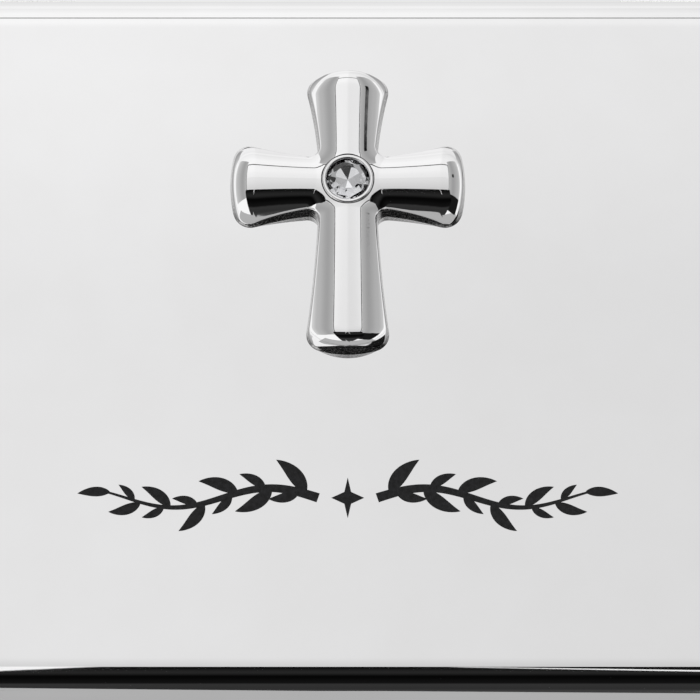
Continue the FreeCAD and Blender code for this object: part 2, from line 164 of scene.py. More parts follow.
def object_noise(tree, scale, detail=3.0, stretch=(1, 1, 1)):
    coordinates = tree.nodes.new("ShaderNodeTexCoord")
    mapping = tree.nodes.new("ShaderNodeMapping")
    mapping.inputs["Scale"].default_value = stretch
    noise = tree.nodes.new("ShaderNodeTexNoise")
    noise.inputs["Scale"].default_value = scale
    noise.inputs["Detail"].default_value = detail
    tree.links.new(coordinates.outputs["Object"], mapping.inputs["Vector"])
    tree.links.new(mapping.outputs["Vector"], noise.inputs["Vector"])
    return noise


NOISE_LOW = 0.3
NOISE_HIGH = 0.7


def roughen(tree, shader, source, low, high):
    """Vary a shader's roughness from low to high by a noise."""
    node = tree.nodes.new("ShaderNodeMapRange")
    node.inputs["From Min"].default_value = NOISE_LOW
    node.inputs["From Max"].default_value = NOISE_HIGH
    node.inputs["To Min"].default_value = low
    node.inputs["To Max"].default_value = high
    tree.links.new(source.outputs["Fac"], node.inputs["Value"])
    tree.links.new(node.outputs["Result"], shader.inputs["Roughness"])


def tint(tree, shader, source, stops):
    """Colour a shader by a noise, between two stops of place and colour."""
    ramp = tree.nodes.new("ShaderNodeValToRGB")
    for element, (place, colour) in zip(ramp.color_ramp.elements, stops):
        element.position = place
        element.color = (*colour, 1)
    tree.links.new(source.outputs["Fac"], ramp.inputs["Fac"])
    tree.links.new(ramp.outputs["Color"], shader.inputs["Base Color"])


def bump(tree, shader, source, strength, distance):
    node = tree.nodes.new("ShaderNodeBump")
    node.inputs["Strength"].default_value = strength
    node.inputs["Distance"].default_value = distance
    tree.links.new(source.outputs["Fac"], node.inputs["Height"])
    tree.links.new(node.outputs["Normal"], shader.inputs["Normal"])


def silver(name, rough, ripple, ripple_scale):
    material, tree, shader = new_metal(name)
    haze = object_noise(tree, 160, 4)
    tint(tree, shader, haze, ((0.35, (0.93, 0.928, 0.932)), (0.75, (0.912, 0.908, 0.910))))
    wipe = object_noise(tree, 420, 5, (0.3, 1, 1))
    roughen(tree, shader, wipe, rough * 0.88, rough * 1.15)
    bump(tree, shader, object_noise(tree, ripple_scale, 2), ripple, 0.0002)
    return material


def sand_cast():
    """The side of a casting below the reach of the polishing wheel."""
    material, tree, shader = new_metal("silver_sand")
    sand = object_noise(tree, 5200, 4)
    tint(tree, shader, sand, ((0.35, (0.36, 0.36, 0.36)), (0.65, (0.74, 0.735, 0.73))))
    roughen(tree, shader, sand, 0.16, 0.3)
    bump(tree, shader, sand, 0.5, 0.00004)
    return material


def paint_contact_shade(material, height, depth):
    """Paint shade into a casting's colour where it meets the panel: near black in a thin band, a painted
    contact shadow.
    """
    tree = material.node_tree
    shader = tree.nodes["Principled BSDF"]
    unshaded_colour = shader.inputs["Base Color"].links[0].from_socket
    coordinates = tree.nodes.new("ShaderNodeTexCoord")
    split = tree.nodes.new("ShaderNodeSeparateXYZ")
    share = tree.nodes.new("ShaderNodeMapRange")
    share.inputs["From Min"].default_value = height
    share.inputs["From Max"].default_value = height + depth
    mix = tree.nodes.new("ShaderNodeMix")
    mix.data_type = "RGBA"
    mix.inputs["A"].default_value = (0.03, 0.03, 0.03, 1)
    tree.links.new(coordinates.outputs["Object"], split.inputs["Vector"])
    tree.links.new(split.outputs["Z"], share.inputs["Value"])
    tree.links.new(share.outputs["Result"], mix.inputs["Factor"])
    tree.links.new(unshaded_colour, mix.inputs["B"])
    tree.links.new(mix.outputs["Result"], shader.inputs["Base Color"])


def fabric(name, rough, specular, sheen, sheen_rough):
    material, tree, shader = new_material(name)
    shader.inputs["Roughness"].default_value = rough
    shader.inputs["Specular IOR Level"].default_value = specular
    shader.inputs["Sheen Weight"].default_value = sheen
    shader.inputs["Sheen Roughness"].default_value = sheen_rough
    return material, tree, shader


def velvet():
    material, tree, shader = fabric("velvet_black", 0.92, 0.2, 0.7, 0.35)
    shader.inputs["Sheen Tint"].default_value = (0.55, 0.57, 0.66, 1)
    nap = object_noise(tree, 75, 4, (1, 0.6, 1))
    tint(tree, shader, nap, ((0.3, (0.011, 0.011, 0.013)), (0.72, (0.033, 0.033, 0.040))))
    bump(tree, shader, object_noise(tree, 5200, 2), 0.5, 0.0002)
    return material


def felt():
    material, tree, shader = fabric("felt_black", 0.96, 0.15, 0.25, 0.6)
    fibre = object_noise(tree, 1900, 6, (1, 0.35, 1))
    tint(tree, shader, fibre, ((0.3, (0.017, 0.017, 0.019)), (0.7, (0.050, 0.050, 0.055))))
    bump(tree, shader, fibre, 0.7, 0.0003)
    return material


def board():
    material, tree, shader = new_material("lining_board")
    shader.inputs["Roughness"].default_value = 0.85
    pulp = object_noise(tree, 1500, 5, (1, 0.3, 1))
    tint(tree, shader, pulp, ((0.3, (0.48, 0.45, 0.40)), (0.7, (0.62, 0.59, 0.53))))
    bump(tree, shader, pulp, 0.3, 0.0001)
    return material


def wire():
    material, tree, shader = new_metal("drawn_steel")
    draw = object_noise(tree, 2600, 3, (0.03, 1, 1))
    tint(tree, shader, draw, ((0.3, (0.55, 0.55, 0.55)), (0.7, (0.68, 0.68, 0.67))))
    roughen(tree, shader, draw, 0.22, 0.4)
    bump(tree, shader, draw, 0.2, 0.00005)
    return material


def enamel():
    material, tree, shader = new_material("black_fill")
    shader.inputs["Specular IOR Level"].default_value = 0.12
    grain = object_noise(tree, 2400, 3)
    tint(tree, shader, grain, ((0.3, (0.006, 0.006, 0.006)), (0.7, (0.016, 0.016, 0.017))))
    roughen(tree, shader, grain, 0.4, 0.7)
    bump(tree, shader, grain, 0.3, 0.00003)
    return material


def glass():
    material, tree, shader = new_material("crystal_glass")
    shader.inputs["Base Color"].default_value = (0.98, 0.985, 1.0, 1)
    shader.inputs["Transmission Weight"].default_value = 1.0
    shader.inputs["IOR"].default_value = 1.58
    roughen(tree, shader, object_noise(tree, 3000, 2), 0.0, 0.02)
    return material


def foil(name, level):
    material, tree, shader = new_metal(name)
    shader.inputs["Roughness"].default_value = 0.03
    haze = object_noise(tree, 900, 3)
    dull = level * 0.96
    tint(tree, shader, haze, ((0.3, (level, level, level)), (0.7, (dull, dull, level * 0.97))))
    return material


SILVER = silver("silver_mirror", 0.03, 0.004, 240)
CAST_SILVER = silver("silver_cast", 0.04, 0.008, 420)
SAND_SILVER = sand_cast()
# Painted contact shade: the sand-cast wall goes near black in its lowest 0.12 mm above the panel
paint_contact_shade(SAND_SILVER, PANEL * MM, 0.00012)
VELVET = velvet()
FELT = felt()
BOARD = board()
WIRE = wire()
ENAMEL = enamel()
GLASS = glass()
FOIL = foil("crystal_foil", 0.96)
# Painted dark reflection: a near-black foil for some rim facets, standing in for the stone's extinction
PAINTED_EXTINCTION_FOIL = foil("crystal_foil_painted_extinction", 0.05)


# Shells

# How a rim's corners are broken: how wide, and its middle point's distance from the face and from the rim
BREAK = 0.15
BREAK_SIDE = 0.04
BREAK_RISE = 0.05
INSIDE_CHAMFER = 1.76


def lid_shell():
    bottom = LID_LOW[2]
    ceiling = PANEL - WALL
    profile = [(WALL - BREAK, bottom), (BREAK, bottom)]
    profile += [(BREAK_SIDE, bottom + BREAK_RISE), (0.0, bottom + BREAK), (0.0, PANEL - EDGE - 0.3)]
    profile += arc_profile(EDGE, PANEL - EDGE, EDGE, 0, 90, 28)
    profile += [(EDGE + 0.5, PANEL)]
    inner = [(EDGE + 0.5, ceiling), (WALL + INSIDE_CHAMFER, ceiling)]
    inner += [(WALL, ceiling - INSIDE_CHAMFER), (WALL, bottom + BREAK)]
    outside = box_loops(profile, WIDTH, DEPTH, CORNER)
    inside = box_loops(inner, WIDTH, DEPTH, CORNER)
    count = len(outside[0])
    points, faces = skin(outside + inside, joined=True)
    panel_rings = (len(outside) - 1, len(outside))
    faces = [face for face in faces if {index // count for index in face} != set(panel_rings)]
    faces += [tuple(ring * count + k for k in range(count)) for ring in panel_rings]
    piece = new_object("lid_cover", points, faces, [SILVER])
    weigh_normals(piece)
    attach(piece, "lid")
    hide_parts("lid_shell")


def body_shell():
    low = BODY_LOW[2]
    rim = BODY_HIGH[2]
    profile = [(FOOT + 0.6, low)]
    profile += arc_profile(FOOT, low + FOOT, FOOT, -90, 0, 14)
    profile += [(0.0, low + FOOT + 0.3), (0.0, rim - BREAK), (BREAK_SIDE, rim - BREAK_RISE), (BREAK, rim)]
    profile += [(WALL - BREAK, rim), (WALL - BREAK_SIDE, rim - BREAK_RISE), (WALL, rim - BREAK)]
    profile += [(WALL, low + WALL + 0.2), (WALL + 0.2, low + WALL)]
    points, faces = skin(box_loops(profile, WIDTH, DEPTH, CORNER))
    piece = new_object("body_tray", points, faces, [SILVER])
    weigh_normals(piece)
    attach(piece, "body")
    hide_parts("body_shell")


lid_shell()
body_shell()


# Cross: an upright wall round its outline, a rounded shoulder, and a top that two rolled bars make

CROSS_Y = (SETTING_LOW[1] + SETTING_HIGH[1]) / 2
SIDE_REACH = CROSS_HIGH[0]
TOP_REACH = CROSS_HIGH[1] - CROSS_Y
FOOT_REACH = CROSS_Y - CROSS_LOW[1]
CREST = CROSS_HIGH[2] - PANEL
WAIST = 5.4
BULGE = 0.8
CROTCH = 0.8
END_CORNER = 1.5
SIDE_SET_BACK = 0.2
VALLEY = 1.0
SHOULDER = 0.16
WALL_DRAFT = 0.16
FLANK_EASE = 2.0
RIM = 0.35
SEAT_RADIUS = (SETTING_HIGH[0] - SETTING_LOW[0]) / 2 + 0.02
SEAT_STEPS = 96

# Each arm's reach, width at its end, radius of its vault at the waist and at the end, the length and drop
# of the roll at its end, and how far that roll falls back at its corners
SIDE_ARM = (SIDE_REACH, 8.8, 3.7, 4.75, 2.2, 1.6, 0.2)
TOP_ARM = (TOP_REACH, 7.9, 4.0, 4.6, 2.0, 1.3, 0.7)
FOOT_ARM = (FOOT_REACH, 7.7, 4.5, 5.0, 1.6, 1.8, 0.8)

# The mesh of the cross: its spacing along the outline, the rings inside the shoulder, and the grid of its top
OUTLINE_STEP = 0.11
RING_STEPS = (0.05, 0.12, 0.22, 0.36, 0.53)
GRID_STEP = 0.17
GRID_GAP = 0.09
SAND_RINGS = ({0, 1}, {1, 2}, {2, 3})
STUD_PLACES = (6.5, -9.5)
STUD_PROFILE = ((0.65, -2.2), (0.8, -2.05), (0.8, 0.3))


def arc_between(start, end, radius, bulge_out, step):
    """Points on an arc from start up to end, left out, at about this spacing."""
    start = np.array(start, float)
    end = np.array(end, float)
    chord = end - start
    half = np.linalg.norm(chord) / 2
    outward = np.array((chord[1], -chord[0])) / (2 * half)
    to_centre = math.sqrt(max(radius * radius - half * half, 0))
    centre = (start + end) / 2 - outward * to_centre * bulge_out
    first = math.atan2(*(start - centre)[::-1])
    sweep = 2 * math.asin(min(half / radius, 1)) * bulge_out
    count = max(int(abs(sweep) * radius / step), 2)
    angles = first + sweep * np.arange(count) / count
    return centre + radius * np.stack((np.cos(angles), np.sin(angles)), axis=1)


def cross_outline(step=0.04):
    waist = WAIST / 2
    crotch = waist + CROTCH
    runs = []
    for turn, arm_sizes in enumerate((SIDE_ARM, TOP_ARM, SIDE_ARM, FOOT_ARM)):
        reach, end_width = arm_sizes[:2]
        end = end_width / 2
        tip = (end * end + BULGE * BULGE) / (2 * BULGE)
        angle = turn * math.pi / 2
        spin = np.array(((math.cos(angle), -math.sin(angle)), (math.sin(angle), math.cos(angle))))
        length = reach - BULGE
        flank = FLANK_EASE * ((length - crotch) ** 2 + (end - waist) ** 2) / (2 * (end - waist))
        arm = [
            arc_between((crotch, -waist), (length, -end), flank, -1, step),
            arc_between((length, -end), (length, end), tip, 1, step),
            arc_between((length, end), (crotch, waist), flank, -1, step),
            arc_between((crotch, waist), (waist, crotch), CROTCH, -1, step),
        ]
        runs += [run @ spin.T for run in arm]
    return np.concatenate(runs)


def outward_normals(loop):
    along = np.roll(loop, -1, axis=0) - np.roll(loop, 1, axis=0)
    along /= np.linalg.norm(along, axis=1)[:, None]
    return np.stack((along[:, 1], -along[:, 0]), axis=1)


def inside_distance(points, loop):
    """The distance of points to a closed outline, negative outside it."""
    along = np.roll(loop, -1, axis=0) - loop
    nearest = np.full(len(points), np.inf)
    inside = np.zeros(len(points), bool)
    for first, edge in zip(loop, along):
        offset = points - first
        share = np.clip(offset @ edge / (edge @ edge), 0, 1)
        gap = offset - share[:, None] * edge
        nearest = np.minimum(nearest, (gap * gap).sum(axis=1))
        above = points[:, 1] >= first[1]
        crosses = above != (points[:, 1] >= first[1] + edge[1])
        if edge[1] != 0:
            meets = first[0] + (points[:, 1] - first[1]) * edge[0] / edge[1]
            inside ^= crosses & (points[:, 0] < meets)
    return np.where(inside, 1, -1) * np.sqrt(nearest)


def even_loop(loop, step):
    closed = np.concatenate((loop, loop[:1]))
    run = np.concatenate(([0], np.cumsum(np.linalg.norm(np.diff(closed, axis=0), axis=1))))
    count = int(run[-1] / step)
    where = np.arange(count) * run[-1] / count
    return np.stack((np.interp(where, run, closed[:, 0]), np.interp(where, run, closed[:, 1])), axis=1)


def rounded_cross(step):
    """The outline with its outer corners rounded, as the path of a disc that rolls inside it."""
    loop = cross_outline()
    inner = loop - END_CORNER * outward_normals(loop)
    keep = inside_distance(inner, loop) > END_CORNER - 0.004
    kept = np.flatnonzero(keep)
    pieces = []
    for here, following in zip(kept, np.roll(kept, -1)):
        pieces.append(loop[here])
        if (following - here) % len(loop) > 1:
            centre = (inner[here] + inner[following]) / 2
            first = math.atan2(*(loop[here] - centre)[::-1])
            last = math.atan2(*(loop[following] - centre)[::-1])
            sweep = (last - first) % (2 * math.pi)
            for share in np.linspace(0, 1, 24)[1:-1]:
                angle = first + sweep * share
                pieces.append(centre + END_CORNER * np.array((math.cos(angle), math.sin(angle))))
    return even_loop(np.array(pieces), step)


def soft_max(a, b, width):
    gap = np.clip(width - np.abs(a - b), 0, None)
    return np.maximum(a, b) + gap * gap / (4 * width)


def vault_radius(distance, arm):
    """The vault of an arm widens from its waist to its end, as its outline does."""
    reach, _, waist_radius, end_radius = arm[:4]
    first = WAIST / 2 + CROTCH
    share = np.clip((distance - first) / (reach - BULGE - first), 0, 1)
    return waist_radius + (end_radius - waist_radius) * share ** 1.5


def bar_height(along, across, low_arm, high_arm):
    distance = np.abs(along)
    turn = np.clip(along / WAIST + 0.5, 0, 1)
    turn = turn * turn * (3 - 2 * turn)
    radius = vault_radius(distance, low_arm) * (1 - turn) + vault_radius(distance, high_arm) * turn
    reach, end_width, _, _, roll, drop, fall = np.where((along > 0)[:, None], high_arm, low_arm).T
    tip = reach - fall * np.clip(2 * across / end_width, -1, 1) ** 2
    past = np.clip((distance - tip + roll) / roll, 0, 1)
    rolled = radius - drop * (1 - np.sqrt(1 - past * past))
    return CREST - radius + np.sqrt(np.clip(rolled ** 2 - across ** 2, 0.01, None))


def cross_height(points, inset):
    x = points[:, 0]
    y = points[:, 1]
    vault = soft_max(bar_height(x, y, SIDE_ARM, SIDE_ARM), bar_height(y, x, FOOT_ARM, TOP_ARM), VALLEY)
    vault = soft_max(vault, np.full_like(vault, RIM), RIM)
    rest = np.clip(SHOULDER + WALL_DRAFT - inset, 0, SHOULDER)
    return vault - SHOULDER + np.sqrt(SHOULDER ** 2 - rest ** 2)


def set_back(x):
    """How far the side arms lean towards the back of the lid."""
    return SIDE_SET_BACK * min(max((abs(x) - WAIST / 2) / (SIDE_REACH - WAIST / 2), 0), 1)


def cross_rings():
    """The wall of the cross, its shoulder and the rings inside it, from the foot of the wall inwards."""
    loop = rounded_cross(OUTLINE_STEP)
    normals = outward_normals(loop)
    count = len(loop)
    turns = np.linspace(0, math.pi / 2, 10)
    insets = list(WALL_DRAFT + SHOULDER * (1 - np.cos(turns)))
    insets += [insets[-1] + more for more in RING_STEPS]
    rings = [np.column_stack((loop, np.zeros(count)))]
    for inset in insets:
        flat = loop - inset * normals
        height = cross_height(flat, np.full(count, inset))
        rings.append(np.column_stack((flat, height)))
    return rings


def top_triangles(innermost):
    """Spots, triangles and sources of the top, between its innermost ring and the seat of the stone."""
    seat = np.array(circle_loop(SEAT_RADIUS, 0, SEAT_STEPS))[:, :2]
    xs = np.arange(-SIDE_REACH, SIDE_REACH, GRID_STEP)
    ys = np.arange(-FOOT_REACH, TOP_REACH, GRID_STEP)
    grid = np.array([(x + GRID_STEP / 2 * (row % 2), y) for row, y in enumerate(ys) for x in xs])
    inside = inside_distance(grid, innermost) > GRID_GAP
    grid = grid[inside & (np.hypot(grid[:, 0], grid[:, 1]) > SEAT_RADIUS + GRID_GAP)]
    flat = np.concatenate((innermost, seat, grid))
    count = len(innermost)
    edges = [(k, (k + 1) % count) for k in range(count)]
    edges += [(count + k, count + (k + 1) % SEAT_STEPS) for k in range(SEAT_STEPS)]
    spots, _, triangles, sources, _, _ = delaunay_2d_cdt([Vector(p) for p in flat], edges, [], 0, 1e-6)
    spots = np.array([tuple(spot) for spot in spots])
    middles = np.array([spots[list(face)].mean(axis=0) for face in triangles])
    good = inside_distance(middles, innermost) > 0
    good &= np.hypot(middles[:, 0], middles[:, 1]) > SEAT_RADIUS - 0.002
    return spots, [face for face, ok in zip(triangles, good) if ok], sources


def cross_piece():
    rings = cross_rings()
    loop = rings[0][:, :2]
    count = len(loop)
    spots, triangles, sources = top_triangles(rings[-1][:, :2])
    heights = cross_height(spots, inside_distance(spots, loop))
    points = [tuple(point) for ring in rings for point in ring]
    faces = skin(rings, cap_last=False)[1]
    top = {}
    rim = {}
    for index, (spot, origin) in enumerate(zip(spots, sources)):
        if origin and min(origin) < count:
            top[index] = (len(rings) - 1) * count + min(origin)
            continue
        top[index] = len(points)
        points.append((spot[0], spot[1], heights[index]))
        if origin and min(origin) < count + SEAT_STEPS:
            rim[min(origin) - count] = top[index]
    faces += [tuple(top[k] for k in face) for face in triangles]
    base = len(points)
    points += circle_loop(SEAT_RADIUS, SETTING_LOW[2] - PANEL, SEAT_STEPS)
    for k in range(SEAT_STEPS):
        following = (k + 1) % SEAT_STEPS
        faces.append((rim[k], rim[following], base + following, base + k))
    faces.append(tuple(base + k for k in range(SEAT_STEPS)))
    for place in STUD_PLACES:
        stud, stud_faces = skin([circle_loop(radius, z, 32, (0, place)) for radius, z in STUD_PROFILE])
        faces += [tuple(len(points) + k for k in face) for face in stud_faces]
        points += stud
    points = [(x, y + CROSS_Y + set_back(x), z + PANEL) for x, y, z in points]
    piece = new_object("cross_casting", points, faces, [CAST_SILVER, SAND_SILVER])
    for polygon in piece.data.polygons:
        crossed = {index // count for index in polygon.vertices}
        polygon.material_index = 1 if crossed in SAND_RINGS else 0
    piece.data.set_sharp_from_angle(angle=SHARP_ANGLE)
    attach(piece, "lid")
    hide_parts("cross_ornament")


cross_piece()


# Stone and its setting

STONE_RADIUS = (STONE_HIGH[0] - STONE_LOW[0]) / 2
PAVILION = 1.2
GIRDLE = 0.15
TABLE_RADIUS = 0.56 * 0.96 * STONE_RADIUS
FOIL_SLOPE = 11.0
FOIL_RIM_SLOPE = 16.5
FOIL_THICKNESS = 0.02
FOIL_RIM_FACETS = 16
# The rim facets of the foil that get the near-black foil, painted dark reflections
PAINTED_EXTINCTION_FACETS = (0, 1, 4, 8, 13, 14)
LIP_HEIGHT = 0.13
LIP_STEPS = 8
CUP_CENTRE = 0.05


def lathe(name, profile, materials, steps=128):
    """A closed ring from (radius, z) points round the stone's axis."""
    loops = [circle_loop(radius, z, steps, (0, CROSS_Y)) for radius, z in profile]
    points, faces = skin(loops)
    return new_object(name, points, faces, materials)


def setting_piece():
    radius = (SETTING_HIGH[0] - SETTING_LOW[0]) / 2
    low = SETTING_LOW[2]
    top = SETTING_HIGH[2]
    bore = STONE_RADIUS + 0.02
    lip_outer = radius - 0.06
    lip_inner = STONE_RADIUS - 0.08
    profile = [(CUP_CENTRE, low), (radius - 0.1, low), (radius, low + 0.1)]
    profile += [(radius, top - 0.5), (radius - 0.02, top - 0.3)]
    for step in range(LIP_STEPS + 1):
        angle = math.pi * step / LIP_STEPS
        across = (lip_outer + lip_inner) / 2 + (lip_outer - lip_inner) / 2 * math.cos(angle)
        profile.append((across, top - LIP_HEIGHT + LIP_HEIGHT * math.sin(angle)))
    profile += [(bore, top - 0.2), (bore, low + 0.45), (CUP_CENTRE, low + 0.4)]
    piece = lathe("stone_bezel", profile, [CAST_SILVER])
    piece.data.set_sharp_from_angle(angle=SHARP_ANGLE)
    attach(piece, "lid")
    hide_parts("stone_setting")


def cut_plane(bm, point, normal):
    cut = bmesh.ops.bisect_plane(bm, geom=bm.verts[:] + bm.edges[:] + bm.faces[:], dist=1e-6,
                                 plane_co=point, plane_no=normal, clear_outer=True)
    rim = [item for item in cut["geom_cut"] if isinstance(item, bmesh.types.BMEdge)]
    if rim:
        bmesh.ops.edgenet_fill(bm, edges=rim)


def cut_tier(bm, facets, start, side, slope, radius, height):
    """Cut a ring of facets through this radius and height, leaning by slope, above (1) or below (-1)."""
    lean = math.radians(slope)
    for turn in range(facets):
        angle = math.radians(start + 360 / facets * turn)
        x = math.cos(angle)
        y = math.sin(angle)
        normal = Vector((x * math.sin(lean), y * math.sin(lean), side * math.cos(lean)))
        cut_plane(bm, Vector((x * radius, y * radius, height)), normal)


def drum(radius, low, high, segments):
    bm = bmesh.new()
    bmesh.ops.create_cone(bm, cap_ends=True, segments=segments, radius1=radius, radius2=radius,
                          depth=high - low)
    bmesh.ops.translate(bm, verts=bm.verts, vec=(0, 0, (low + high) / 2))
    return bm


def set_in_place(bm):
    """Move a mesh made in millimetres about the stone's axis to its place, in metres."""
    bmesh.ops.translate(bm, verts=bm.verts, vec=(0, CROSS_Y, 0))
    bmesh.ops.scale(bm, verts=bm.verts, vec=(MM, MM, MM))


def foil_star(bm, radius, top):
    """Add the foil at the back of the stone: a shallow dish of facets, thin and closed. Some rim facets get a
    near-black foil, painted dark reflections that stand in for the stone's extinction.
    """
    star = drum(radius, top - 1.0, top, 64)
    rim = 0.74 * radius
    depth = (radius - rim) * math.tan(math.radians(FOIL_SLOPE))
    cut_tier(star, 8, 8.0, -1, FOIL_SLOPE, radius, top)
    cut_tier(star, FOIL_RIM_FACETS, 19.25, -1, FOIL_RIM_SLOPE, rim, top - depth)
    bmesh.ops.recalc_face_normals(star, faces=star.faces)
    spare = [face for face in star.faces if face.normal.z > -0.5]
    bmesh.ops.delete(star, geom=spare, context="FACES")
    copied = bmesh.ops.extrude_face_region(star, geom=star.faces[:])["geom"]
    lower = [item for item in copied if isinstance(item, bmesh.types.BMVert)]
    bmesh.ops.translate(star, verts=lower, vec=(0, 0, -FOIL_THICKNESS))
    bmesh.ops.recalc_face_normals(star, faces=star.faces)
    set_in_place(star)
    rim_normal = math.cos(math.radians((FOIL_SLOPE + FOIL_RIM_SLOPE) / 2))
    for face in star.faces:
        turn = math.degrees(math.atan2(-face.normal.y, -face.normal.x)) % 360
        # These facets get the near-black foil: painted dark reflections
        painted_extinction = abs(face.normal.z) < rim_normal and int(turn * FOIL_RIM_FACETS / 360) in PAINTED_EXTINCTION_FACETS
        face.material_index = 2 if painted_extinction else 1
    mesh = bpy.data.meshes.new("foil_star")
    star.to_mesh(mesh)
    star.free()
    bm.from_mesh(mesh)
    bpy.data.meshes.remove(mesh)


def cut_stone():
    """A round brilliant: a drum cut by the planes of its facets, with its foil."""
    low = STONE_LOW[2]
    high = STONE_HIGH[2]
    girdle_low = low + PAVILION
    girdle_high = girdle_low + GIRDLE
    steep = math.degrees(math.atan2(PAVILION, STONE_RADIUS))
    bm = drum(STONE_RADIUS, low + 0.0005, high - 0.0005, 96)
    cut_tier(bm, 8, 0.0, -1, steep - 0.6, STONE_RADIUS, girdle_low - 0.02)
    cut_tier(bm, 16, 11.25, -1, steep + 1.4, STONE_RADIUS, girdle_low + 0.02)
    cut_tier(bm, 8, 0.0, 1, 36.0, STONE_RADIUS, girdle_high + 0.02)
    cut_tier(bm, 16, 11.25, 1, 40.5, STONE_RADIUS, girdle_high - 0.01)
    cut_tier(bm, 8, 22.5, 1, 22.0, TABLE_RADIUS, high)
    set_in_place(bm)
    bmesh.ops.remove_doubles(bm, verts=bm.verts, dist=2e-7)
    bmesh.ops.recalc_face_normals(bm, faces=bm.faces)
    for face in bm.faces:
        face.material_index = 1 if face.normal.z < -0.2 else 0
    foil_star(bm, STONE_RADIUS - 0.05, girdle_low - 0.02)
    mesh = bpy.data.meshes.new("round_stone")
    bm.to_mesh(mesh)
    bm.free()
    mesh.materials.append(GLASS)
    mesh.materials.append(FOIL)
    mesh.materials.append(PAINTED_EXTINCTION_FOIL)
    piece = bpy.data.objects.new("round_stone", mesh)
    bpy.context.collection.objects.link(piece)
    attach(piece, "lid")
    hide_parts("crystal")


setting_piece()
cut_stone()


# Black-filled engraving on the front half of the lid: a sprig each side of a lozenge

ORNAMENT_Y = -15.0
ORNAMENT_HALF = 22.0
ENGRAVED_DEPTH = 0.05
FILL_HEIGHT = 0.008
FILL_STEP = 0.0006
LEAF_PLACES = (0.06, 0.22, 0.38, 0.54, 0.70, 0.84)
LOZENGE = ((1.45, 0), (0.3, 0.55), (0, 1.9), (-0.3, 0.55), (-1.45, 0), (-0.3, -0.55), (0, -1.9), (0.3, -0.55))


def prism(outline, z_low, z_high, points, faces):
    first = len(points)
    count = len(outline)
    points += [(x, y, z_low) for x, y in outline]
    points += [(x, y, z_high) for x, y in outline]
    faces.append(tuple(first + k for k in range(count)))
    faces.append(tuple(first + count + k for k in range(count)))
    for k in range(count):
        following = (k + 1) % count
        faces.append((first + k, first + following, first + count + following, first + count + k))


def leaf(root, heading, length, width, curl):
    """A pointed leaf whose midrib bends by curl from root to tip."""
    ribs = []
    steps = 20
    spot = np.array(root, float)
    for step in range(steps + 1):
        share = step / steps
        angle = heading + curl * share
        half = width / 2 * math.sin(math.pi * share ** 0.8) ** 0.9
        across = np.array((-math.sin(angle), math.cos(angle)))
        ribs.append((spot + across * half, spot - across * half))
        spot = spot + np.array((math.cos(angle), math.sin(angle))) * length / steps
    left = [pair[0] for pair in ribs]
    right = [pair[1] for pair in ribs[1:-1]]
    return left + right[::-1]


def stem_point(share):
    x = 2.6 + (ORNAMENT_HALF - 3.4) * share
    y = 0.9 * math.sin(2 * math.pi * share * 1.1)
    return np.array((x, y))


def stem(steps=60):
    upper = []
    lower = []
    for step in range(steps + 1):
        share = step / steps
        here = stem_point(share)
        ahead = stem_point(share + 0.001) - stem_point(share - 0.001)
        across = np.array((-ahead[1], ahead[0])) / np.linalg.norm(ahead)
        half = 0.34 * (1 - share) + 0.10
        upper.append(here + across * half)
        lower.append(here - across * half)
    return upper + lower[::-1]


def sprig():
    """The outlines of a stem with its leaves: a large and a small one at each place, and one at the tip."""
    shapes = [stem()]
    for step, share in enumerate(LEAF_PLACES):
        side = 1 if step % 2 == 0 else -1
        size = 1 - 0.35 * share
        ahead = stem_point(share + 0.01) - stem_point(share)
        heading = math.atan2(ahead[1], ahead[0])
        shapes.append(leaf(stem_point(share), heading + side * 0.95, 4.3 * size, 1.35 * size, -side * 0.75))
        root = stem_point(share + 0.03)
        shapes.append(leaf(root, heading - side * 0.8, 2.9 * size, 0.95 * size, side * 0.6))
    shapes.append(leaf(stem_point(1.0) - np.array((0.3, 0)), 0.1, 2.9, 0.9, -0.3))
    return shapes


def ornament_piece():
    points = []
    faces = []
    low = PANEL - ENGRAVED_DEPTH
    for lift, shape in enumerate(sprig()):
        high = PANEL + FILL_HEIGHT + FILL_STEP * lift
        prism([(x, y + ORNAMENT_Y) for x, y in shape], low, high, points, faces)
        prism([(-x, y + ORNAMENT_Y) for x, y in shape[::-1]], low, high, points, faces)
    prism([(x, y + ORNAMENT_Y) for x, y in LOZENGE], low, PANEL + 0.01, points, faces)
    piece = new_object("lid_engraving", points, faces, [ENAMEL], smooth=False)
    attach(piece, "lid")


ornament_piece()


# Lining and felt

EDGE_STEPS = (0.0, 0.25, 0.8, 1.6, 2.8, 4.6)
PAD_CELL = 2.4
PAD_ROLL = 2.1
PAD_SIDE = ((0.4, 0.0), (0.12, 0.02), (0.0, 0.12))
ROLL_FOOT = 0.3
ROLL_RISE = 0.45
SIMULATION_SCALE = 20
SIMULATION_FRAMES = 16
PRESSURE = 4.0
STIFFNESS = 8
SWELL = 0.3


def pad_lines(length):
    """Places of a pad's grid lines along one side, close together at both edges."""
    half = length / 2
    count = int((length - 2 * EDGE_STEPS[-1]) / PAD_CELL)
    middle = list(np.linspace(EDGE_STEPS[-1] - half, half - EDGE_STEPS[-1], count + 1))
    return [step - half for step in EDGE_STEPS[:-1]] + middle + [half - step for step in EDGE_STEPS[-2::-1]]


def round_corner(x, y, half_x, half_y, corner):
    """Move a point on the ring of a rectangle of these half sizes onto the ring with round corners."""
    over_x = abs(x) - half_x + corner
    over_y = abs(y) - half_y + corner
    if min(over_x, over_y) <= 0:
        return x, y
    turn = math.pi / 4 * (over_y / corner if over_x >= over_y else 2 - over_x / corner)
    return (math.copysign(half_x - corner + corner * math.cos(turn), x),
            math.copysign(half_y - corner + corner * math.sin(turn), y))


